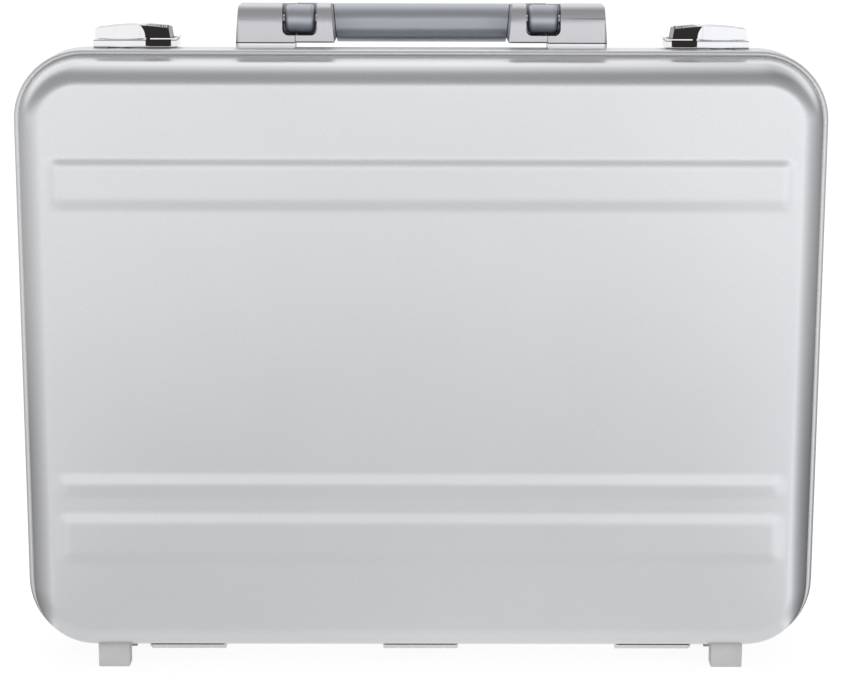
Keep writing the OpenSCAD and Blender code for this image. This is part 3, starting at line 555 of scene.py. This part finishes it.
def stitches(name, body, slot, side, runs, pitch=3.4 * MM, length=2.4 * MM, radius=0.3 * MM):
    """Thread along runs, each a list of (x, z, v) points, as one small rounded dash a stitch."""
    verts, faces = [], []
    around = 6
    ends = [(-0.5, 0.35), (-0.38, 0.9), (0, 1), (0.38, 0.9), (0.5, 0.35)]    # places along it and thickness

    def dash(at, along):
        across = Vector((along.z, 0, -along.x))
        out = Vector((0, -side, 0))
        start = len(verts)
        for reach, size in ends:
            for k in range(around):
                turn = 2 * pi * k / around
                verts.append(at + along * (reach * length)
                             + (across * cos(turn) + out * sin(turn)) * (radius * size))
        for ring in range(len(ends) - 1):
            for k in range(around):
                a, b = start + ring * around + k, start + ring * around + (k + 1) % around
                faces.append((a, b, b + around, a + around))
        faces.append(tuple(start + k for k in range(around)))
        faces.append(tuple(start + (len(ends) - 1) * around + k for k in range(around)))

    for run in runs:
        travelled = pitch / 2
        for (x0, z0, v0), (x1, z1, v1) in zip(run, run[1:]):
            a = Vector((x0, PART_Y + side * v0, MID_Z + z0))
            b = Vector((x1, PART_Y + side * v1, MID_Z + z1))
            span = (b - a).length
            while travelled < span:
                dash(a.lerp(b, travelled / span), (b - a).normalized())
                travelled += pitch
            travelled -= span
    return finished(mesh_object(name, verts, faces), THREAD, body, slot)


def rounded_path(half_x, half_z, radius, at_v, middle=0.0):
    """A closed rounded rectangle as stitching points, v from at_v(x, z)."""
    arc_steps, spacing = 6, 6 * MM
    points = []
    for quarter, (sx, sz) in enumerate([(1, 1), (-1, 1), (-1, -1), (1, -1)]):
        for i in range(arc_steps + 1):
            turn = (quarter + i / arc_steps) * pi / 2
            points.append((sx * (half_x - radius) + radius * cos(turn),
                           sz * (half_z - radius) + radius * sin(turn)))
    points.append(points[0])
    fine = []
    for (x0, z0), (x1, z1) in zip(points, points[1:]):
        steps = max(1, int(hypot(x1 - x0, z1 - z0) / spacing))
        fine += [(x0 + (x1 - x0) * i / steps, z0 + (z1 - z0) * i / steps) for i in range(steps)]
    fine.append(points[0])
    return [(x, middle + z, at_v(x, z)) for x, z in fine]


def seam_swell(x, z, seams_x, half_x, half_z, rise, soft):
    """Padding between sewn seams: nothing on a seam or outside the border, rise between them, reached over
    a distance of soft, with small puckers along the seams."""
    pucker_rise, pucker_x, pucker_z = 0.25 * MM, 2.1 * MM, 1.9 * MM
    gaps = [half_x - abs(x), half_z - abs(z)] + [abs(x - s) for s in seams_x]
    near = min(gaps)
    if near <= 0:
        return 0.0
    pucker = pucker_rise * sin(x / pucker_x) * sin(z / pucker_z) * (1 - smoothstep(near / (12 * MM)))
    return (rise * smoothstep(near / soft) + pucker) * smoothstep(near / (3 * MM))


LINING_T, LINING_GAP = 1.5 * MM, 0.3 * MM
LINING_TUCK = 1.2 * MM     # how far its edge goes in under the frame
THREAD_OUT = 0.05 * MM     # how far the middle of the linings' thread lies out of them
THREAD_IN = 0.02 * MM      # how far that of the organiser's thread lies in it


def lining(name, node, body, depth, frame_d, side, swell, seams):
    """A tray of padded fabric: its inner surface, thickened towards the shell, with the border sewn."""
    inset = SHELL_T + LINING_GAP + LINING_T
    hem_v = frame_d + HEM
    floor_v = depth - inset
    rings = pressed_profile(depth, hem_v, frame_d - LINING_TUCK, inset)
    obj = form(name, HALF_W - FRAME_R, HALF_H - FRAME_R, rings,
               lambda x, z, v: -swell(x, z) if v >= floor_v - SLACK else 0.0, side)
    face_y(obj, -side)
    thicken(obj, LINING_T)
    finished(obj, WEAVE, body, "lining", node)
    stitches(name + "_stitches", body, "lining", side, seams(floor_v - THREAD_OUT))
    return obj


def pad_rings(radius, back, front, edge):
    """Section of a flat pad's rim as (u, v), from the front's middle grid round its edge to the back's."""
    points = [(u, front) for u in (0.0, (radius - edge) / 2)]
    steps = 6
    for i in range(steps + 1):
        turn = pi / 2 * i / steps
        points.append((radius - edge + edge * sin(turn), front + edge * (1 - cos(turn))))
    return points + [(radius, back), (0.0, back)]


def organiser():
    """The lid's document pocket, the flap sewn on it and the pen loops."""
    (x0, y0, z0), (x1, y1, z1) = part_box("document_pocket")
    half_x, half_z, radius, seam = (x1 - x0) / 2, (z1 - z0) / 2, 8 * MM, 3.2 * MM
    back, front = PART_Y - y0, PART_Y - y1
    (fx0, fy0, fz0), (fx1, fy1, fz1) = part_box("organiser_flap")
    flap_top = fz1 - MID_Z

    def puff(x, z, v):
        """The pocket's free part above the flap stands a little proud, with a slight ripple."""
        if v > front + SLACK:
            return 0.0
        reach = min(half_x - abs(x), half_z - z, z - flap_top)
        ripple = 0.25 * MM * sin(x / (19 * MM)) * smoothstep(reach / (20 * MM))
        return -1.3 * MM * smoothstep(reach / (45 * MM)) + ripple

    pocket = form("document_pocket_pad", half_x - radius, half_z - radius,
                  pad_rings(radius, back, front, 1.6 * MM), puff, -1, closed=True, cells=(96, 72, 6))
    finished(pocket, LEATHER, "lid", "organiser", "document_pocket")
    stitches("document_pocket_stitches", "lid", "organiser", -1,
             [rounded_path(half_x - seam, half_z - seam, 5 * MM, lambda x, z: front + THREAD_IN)])

    flap_x, flap_z, flap_mid = (fx1 - fx0) / 2, (fz1 - fz0) / 2, (fz0 + fz1) / 2 - MID_Z
    flap_back, flap_front = PART_Y - fy0, PART_Y - fy1
    flap_r, flap_seam, flat_under_loop = 6 * MM, 3 * MM, 14 * MM
    loops = loop_places()

    def belly(x, z, v):
        """The flap bellies out as an open pouch does, and lies flat at its seams and under the loops. Its
        upper edge is hemmed."""
        away = min(abs(x - place) for place in loops) - flat_under_loop
        sides = smoothstep((flap_x - abs(x)) / (60 * MM)) * smoothstep((z + flap_z) / (50 * MM))
        bow = 1.0 * MM * sides * smoothstep(away / (40 * MM))
        hem = 0.0
        if v < flap_back - SLACK:
            hem = 0.35 * MM * smoothstep((z - flap_z + 9 * MM) / (1.5 * MM))
        return -bow - hem * smoothstep(away / (6 * MM))

    flap = form("organiser_flap_leather", flap_x - flap_r, flap_z - flap_r,
                pad_rings(flap_r, flap_back, flap_front, 0.6 * MM), belly, -1,
                middle=flap_mid, closed=True, cells=(96, 48, 6))
    finished(flap, LEATHER, "lid", "organiser", "organiser_flap")
    stitches("organiser_flap_stitches", "lid", "organiser", -1,
             [rounded_path(flap_x - flap_seam, flap_z - flap_seam, 3.5 * MM,
                           lambda x, z: flap_front + belly(x, z, flap_front) + THREAD_IN, flap_mid)])
    for index, place in enumerate(loops):
        pen_loop("pen_loop_%d" % (index + 1), place)


def loop_places():
    """The middles of the four pen loops."""
    (x0, _, _), (x1, _, _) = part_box("pen_loops")
    count, radius = 4, 6 * MM
    step = (x1 - x0 - 2 * radius) / (count - 1)
    return [x0 + radius + step * i for i in range(count)]


def pen_loop(name, place):
    """A loop of ribbed elastic with its two sewn feet."""
    (_, y0, z0), (_, y1, z1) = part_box("pen_loops")
    radius, thick, foot = 5.55 * MM, 0.9 * MM, 3.6 * MM
    steps, rows = 28, 14
    waist, slump = 0.04, 0.05          # narrowing of the arch's flanks, and lowering of its middle row
    section = [(place - radius - foot, 0.0)]
    for i in range(steps + 1):
        turn = pi * i / steps
        section.append((place - radius * cos(turn) * (1 - waist * sin(2 * turn) ** 2),
                        (y1 - y0 - thick / 2) * sin(turn)))
    section.append((place + radius + foot, 0.0))
    verts, faces = [], []
    for row in range(rows + 1):
        z = z0 + (z1 - z0) * row / rows
        pinch = 1 - slump * sin(pi * row / rows) ** 2
        for x, out in section:
            verts.append((x, y0 + thick / 2 + out * pinch, z))
    width = len(section)
    for row in range(rows):
        for column in range(width - 1):
            a = row * width + column
            faces.append((a, a + 1, a + width + 1, a + width))
    obj = mesh_object(name, verts, faces)
    thicken(obj, thick, 0)
    finished(obj, ELASTIC, "lid", "organiser", "pen_loops")


def numerals():
    """Raised white numbers round each dial."""
    first, proud = radians(58), 0.03 * MM      # how far the 0 is up from the front, and its rise
    for side in ("left", "right"):
        for place in (1, 2, 3):
            node = "dial_%s_%d" % (side, place)
            low_corner, high_corner = (Vector(p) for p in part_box(node))
            middle = (low_corner + high_corner) / 2
            radius = (high_corner.z - low_corner.z) / 2
            reach = radius + proud
            verts, faces = [], []
            for digit in range(10):
                shape, cells = glyph(str(digit))
                start = len(verts)
                for x, up in shape:
                    turn = first - digit * 2 * pi / 10 + up / radius
                    verts.append((middle.x + x, middle.y - reach * cos(turn), middle.z + reach * sin(turn)))
                faces += [tuple(start + k for k in cell) for cell in cells]
            obj = mesh_object("numerals_%s_%d" % (side, place), verts, faces, smooth=False)
            finished(obj, DIGIT, node, "dial")


def glyph(character):
    """A number's flat mesh as points about its middle and faces, from Blender's own font."""
    height, font_share = 2.3 * MM, 0.7         # a number is this share of the font's size
    curve = bpy.data.curves.new("glyph", "FONT")
    curve.body = character
    curve.size = height / font_share
    curve.align_x, curve.align_y = "CENTER", "CENTER"
    curve.resolution_u = 3
    obj = bpy.data.objects.new("glyph", curve)
    bpy.context.scene.collection.objects.link(obj)
    bpy.context.view_layer.update()
    mesh = bpy.data.meshes.new_from_object(obj.evaluated_get(bpy.context.evaluated_depsgraph_get()))
    shape = [(v.co.x, v.co.y) for v in mesh.vertices]
    cells = [tuple(p.vertices) for p in mesh.polygons]
    bpy.data.objects.remove(obj)
    bpy.data.curves.remove(curve)
    bpy.data.meshes.remove(mesh)
    return shape, cells


# ---- stage, light and camera --------------------------------------------------------------------

# Levels of what the metal mirrors, as ramps' stops. First the floor, which glows in reflections with this
# painted light and painted shade, by its distance from the case over FLOOR_FAR, and by x + 0.5 m, everywhere
# and close to the case, where it is painted darker beside the case's ends as painted shade
FLOOR_REACH = [(0.0, 1.05), (0.03, 1.0), (0.06, 0.86), (0.20, 0.80), (0.35, 0.80), (0.60, 0.95), (1.0, 1.10)]
FLOOR_ACROSS = [(0.1, 1.0), (0.28, 0.90), (0.4, 0.95), (0.5, 1.0), (0.6, 1.0), (0.72, 0.96), (0.9, 1.0)]
FLOOR_CORNERS = [(0.12, 0.8), (0.17, 0.50), (0.24, 0.58), (0.275, 1.0), (0.725, 1.0), (0.76, 0.55),
                 (0.83, 0.46), (0.88, 0.8)]
# The sky in front and behind by the sine of its height, and high up by x + 0.5
SKY_FRONT = [(0.0, 1.55), (0.06, 1.25), (0.15, 0.68), (0.31, 0.42), (0.6, 0.43), (0.75, 0.46), (0.93, 0.60),
             (1.0, 1.0)]
SKY_ACROSS = [(0.2, 0.80), (0.36, 0.84), (0.45, 0.97), (0.5, 1.0), (0.55, 0.97), (0.64, 0.60), (0.8, 0.55)]
SKY_BACK = [(0.0, 1.0), (0.6, 1.15), (0.93, 1.4), (1.0, 1.0)]
# Both by the bearing, from the back (0) by the left (0.25) and the front (0.5) to the right (0.75)
BEARING = [(0.0, 1.0), (0.02, 0.8), (0.04, 0.4), (0.08, 0.42), (0.167, 0.55), (0.24, 0.62), (0.305, 0.71),
           (0.36, 0.80), (0.42, 0.92), (0.47, 1.12), (0.5, 0.96), (0.53, (1.20, 1.21, 1.23)),
           (0.56, (1.20, 1.21, 1.23)), (0.58, (1.01, 1.02, 1.04)), (0.625, (0.76, 0.77, 0.79)),
           (0.694, (0.55, 0.56, 0.58)), (0.77, 0.43), (0.86, 0.29), (0.92, 0.2), (0.96, 0.2), (0.98, 0.8),
           (1.0, 1.0)]

FLOOR_HALF = 12.0          # half the floor's width
FLOOR_FAR = 2.0            # distance from the case where FLOOR_REACH ends
FLOOR_OWN = 0.14           # share of the floor's own surface, over what it mirrors or lets through
# Distances from the case over which the bearing's level stops counting twice, the level of FLOOR_CORNERS
# ends, and the floor's own share is lost to the camera
FLOOR_TURN, FLOOR_CORNER, FLOOR_HAZE = (0.4, 1.1), (0.06, 0.20), (0.06, 0.14)

# Where the sky goes from front to back, by y, and over which heights it leaves the bearing's level and
# takes on that of SKY_ACROSS
SKY_TURN, SKY_LOW, SKY_HIGH = (-0.25, 0.25), (0.02, 0.4), (0.5, 0.85)
EVEN_LIGHT, WHITE = 0.55, 1.06              # the world's level for diffuse rays, and behind the case

# Softboxes: name, place, width, height and power, all turned to AIM
AIM = (0, 0, 0.2)
SOFTBOXES = [
    ("overhead", (0, 0.25, 1.9), 1.8, 1.2, 16),
    ("front_left", (-1.6, -2.0, 1.2), 1.2, 1.6, 20),
    ("front_right", (1.6, -2.0, 1.2), 1.2, 1.6, 24),
]


def ray_seen(tree):
    """1 for what the camera sees directly, in a reflection or through glass."""
    path = tree.nodes.new("ShaderNodeLightPath").outputs
    seen = math_node(tree, "MAXIMUM", path["Is Camera Ray"], path["Is Glossy Ray"])
    return math_node(tree, "MAXIMUM", seen, path["Is Transmission Ray"])


def coordinates(tree, kind):
    """x, y and z of a texture coordinate."""
    split = tree.nodes.new("ShaderNodeSeparateXYZ")
    feed(tree, split.inputs["Vector"], tree.nodes.new("ShaderNodeTexCoord").outputs[kind])
    return [split.outputs[axis] for axis in "XYZ"]


def by_bearing(tree, x, y):
    """BEARING's level in a direction, where x goes to the right and y to the back."""
    turn = math_node(tree, "ARCTAN2", x, math_node(tree, "MULTIPLY", y, -1.0))
    return ramp_node(tree, math_node(tree, "ADD", math_node(tree, "DIVIDE", turn, 2 * pi), 0.5), BEARING)


def floor():
    """Pale, with the object's shadow. The camera sees the white world through it, and so the lid too where
    it opens below the feet. In reflections it glows with painted light and shade, whose level goes with the
    place."""
    corners = [(x * FLOOR_HALF, y * FLOOR_HALF, 0) for x, y in ((-1, -1), (1, -1), (1, 1), (-1, 1))]
    plane = mesh_object("floor", corners, [(0, 1, 2, 3)])
    material = bpy.data.materials.new("pale floor")
    material.use_nodes = True
    tree = material.node_tree
    own = tree.nodes["Principled BSDF"]
    own.inputs["Base Color"].default_value = (0.85, 0.85, 0.85, 1)
    own.inputs["Roughness"].default_value = 0.9

    x, y, _ = coordinates(tree, "Object")
    beside = math_node(tree, "MAXIMUM", math_node(tree, "MINIMUM", x, HALF_W), -HALF_W)
    aside = math_node(tree, "SUBTRACT", x, beside)
    squares = [math_node(tree, "MULTIPLY", side, side) for side in (aside, y)]
    distance = math_node(tree, "SQRT", math_node(tree, "ADD", *squares))
    along = math_node(tree, "ADD", x, 0.5)

    bearing = by_bearing(tree, aside, y)
    reach = ramp_node(tree, math_node(tree, "DIVIDE", distance, FLOOR_FAR), FLOOR_REACH)
    across = ramp_node(tree, along, FLOOR_ACROSS)
    near = colour_mix(tree, smooth_range(tree, distance, *FLOOR_TURN, 1.0, 0.0), EVEN, bearing)
    at_corners = colour_mix(tree, smooth_range(tree, distance, *FLOOR_CORNER, 0.0, 1.0),
                            ramp_node(tree, along, FLOOR_CORNERS), EVEN)
    mirrored = tree.nodes.new("ShaderNodeEmission")
    feed(tree, mirrored.inputs["Color"],
         product(tree, product(tree, reach, across), product(tree, bearing, near), at_corners))
    mirrored.inputs["Strength"].default_value = MOST ** 5

    clear = tree.nodes.new("ShaderNodeBsdfTransparent").outputs["BSDF"]
    direct = tree.nodes.new("ShaderNodeLightPath").outputs["Is Camera Ray"]
    lost = math_node(tree, "MULTIPLY", direct, smooth_range(tree, distance, *FLOOR_HAZE, 0.0, FLOOR_OWN))
    share = math_node(tree, "MULTIPLY", ray_seen(tree), math_node(tree, "ADD", lost, 1 - FLOOR_OWN))
    above = shader_mix(tree, share, own.outputs["BSDF"],
                       shader_mix(tree, direct, mirrored.outputs["Emission"], clear))
    below = tree.nodes.new("ShaderNodeNewGeometry").outputs["Backfacing"]
    feed(tree, tree.nodes["Material Output"].inputs["Surface"], shader_mix(tree, below, above, clear))
    plane.data.materials.append(material)


def world():
    """White behind the case; in reflections a studio sky with a broad dark flag high in front; even light
    for the rest."""
    surroundings = bpy.data.worlds.new("studio")
    bpy.context.scene.world = surroundings
    surroundings.use_nodes = True
    tree = surroundings.node_tree
    tree.nodes.clear()

    def background(colour, strength):
        shade = tree.nodes.new("ShaderNodeBackground")
        feed(tree, shade.inputs["Color"], colour)
        shade.inputs["Strength"].default_value = strength
        return shade.outputs["Background"]

    x, y, z = coordinates(tree, "Generated")
    upright = colour_mix(tree, smooth_range(tree, y, *SKY_TURN, 0.0, 1.0),
                         ramp_node(tree, z, SKY_FRONT), ramp_node(tree, z, SKY_BACK))
    around = colour_mix(tree, smooth_range(tree, z, *SKY_LOW, 0.0, 1.0), by_bearing(tree, x, y), EVEN)
    lofty = colour_mix(tree, smooth_range(tree, z, *SKY_HIGH, 0.0, 1.0), EVEN,
                       ramp_node(tree, math_node(tree, "ADD", x, 0.5), SKY_ACROSS))
    sky = background(product(tree, upright, around, lofty), MOST ** 3)
    white = background((1, 1, 1, 1), WHITE)
    even = background((EVEN_LIGHT, EVEN_LIGHT, EVEN_LIGHT, 1), 1.0)
    direct = tree.nodes.new("ShaderNodeLightPath").outputs["Is Camera Ray"]
    output = tree.nodes.new("ShaderNodeOutputWorld")
    feed(tree, output.inputs["Surface"],
         shader_mix(tree, ray_seen(tree), even, shader_mix(tree, direct, sky, white)))


def softbox(name, place, width, height, power):
    light = bpy.data.lights.new(name, "AREA")
    light.shape = "RECTANGLE"
    light.size, light.size_y = width, height
    light.energy = power
    obj = bpy.data.objects.new(name, light)
    bpy.context.scene.collection.objects.link(obj)
    obj.location = place
    obj.rotation_euler = (Vector(AIM) - Vector(place)).to_track_quat("-Z", "Y").to_euler()
    obj.visible_glossy = False     # the metal mirrors the sky and the floor instead


def camera():
    distance, height = 1.300, 0.4615           # from the nose of the lid's frame, and over the floor
    pitch, yaw, roll = radians(11.88), radians(0.241), radians(0.14)
    data = bpy.data.cameras.new("camera")
    data.sensor_width = 36
    data.lens = 96.46
    obj = bpy.data.objects.new("camera", data)
    bpy.context.scene.collection.objects.link(obj)
    turn = (Matrix.Rotation(-yaw, 4, "Z") @ Matrix.Rotation(pi / 2 - pitch, 4, "X")
            @ Matrix.Rotation(roll, 4, "Z"))
    obj.matrix_world = Matrix.Translation((0, PART_Y - LID_FRAME - distance, height)) @ turn
    bpy.context.scene.camera = obj


def studio():
    floor()
    world()
    for box in SOFTBOXES:
        softbox(*box)
    bpy.context.scene.view_settings.view_transform = "Standard"
    camera()


# ---- the case -----------------------------------------------------------------------------------

dress_solids()
shell("lid_skin", "lid_shell", "lid", LID_DEPTH, LID_FRAME, LID_WEB, -1)
shell("base_skin", "base_shell", "base", BASE_DEPTH, BASE_FRAME, BASE_WEB, 1)
PANEL_X, PANEL_Z, PANEL_SEAMS = 196 * MM, 142 * MM, (-98 * MM, 0.0, 98 * MM)
PADDING, PADDING_SOFT = 2.4 * MM, 40 * MM
LID_SEAM_IN, LID_SEAM_R = 22 * MM, 16 * MM
lining("base_lining_fabric", "base_lining", "base", BASE_DEPTH, BASE_FRAME, 1,
       lambda x, z: seam_swell(x, z, PANEL_SEAMS, PANEL_X, PANEL_Z, PADDING, PADDING_SOFT),
       lambda v: [rounded_path(PANEL_X, PANEL_Z, 1 * MM, lambda x, z: v)]
       + [[(s, -PANEL_Z, v), (s, PANEL_Z, v)] for s in PANEL_SEAMS])
lining("lid_lining_fabric", "lid_lining", "lid", LID_DEPTH, LID_FRAME, -1, lambda x, z: 0.0,
       lambda v: [rounded_path(HALF_W - LID_SEAM_IN, HALF_H - LID_SEAM_IN, LID_SEAM_R, lambda x, z: v)])
organiser()
numerals()
studio()
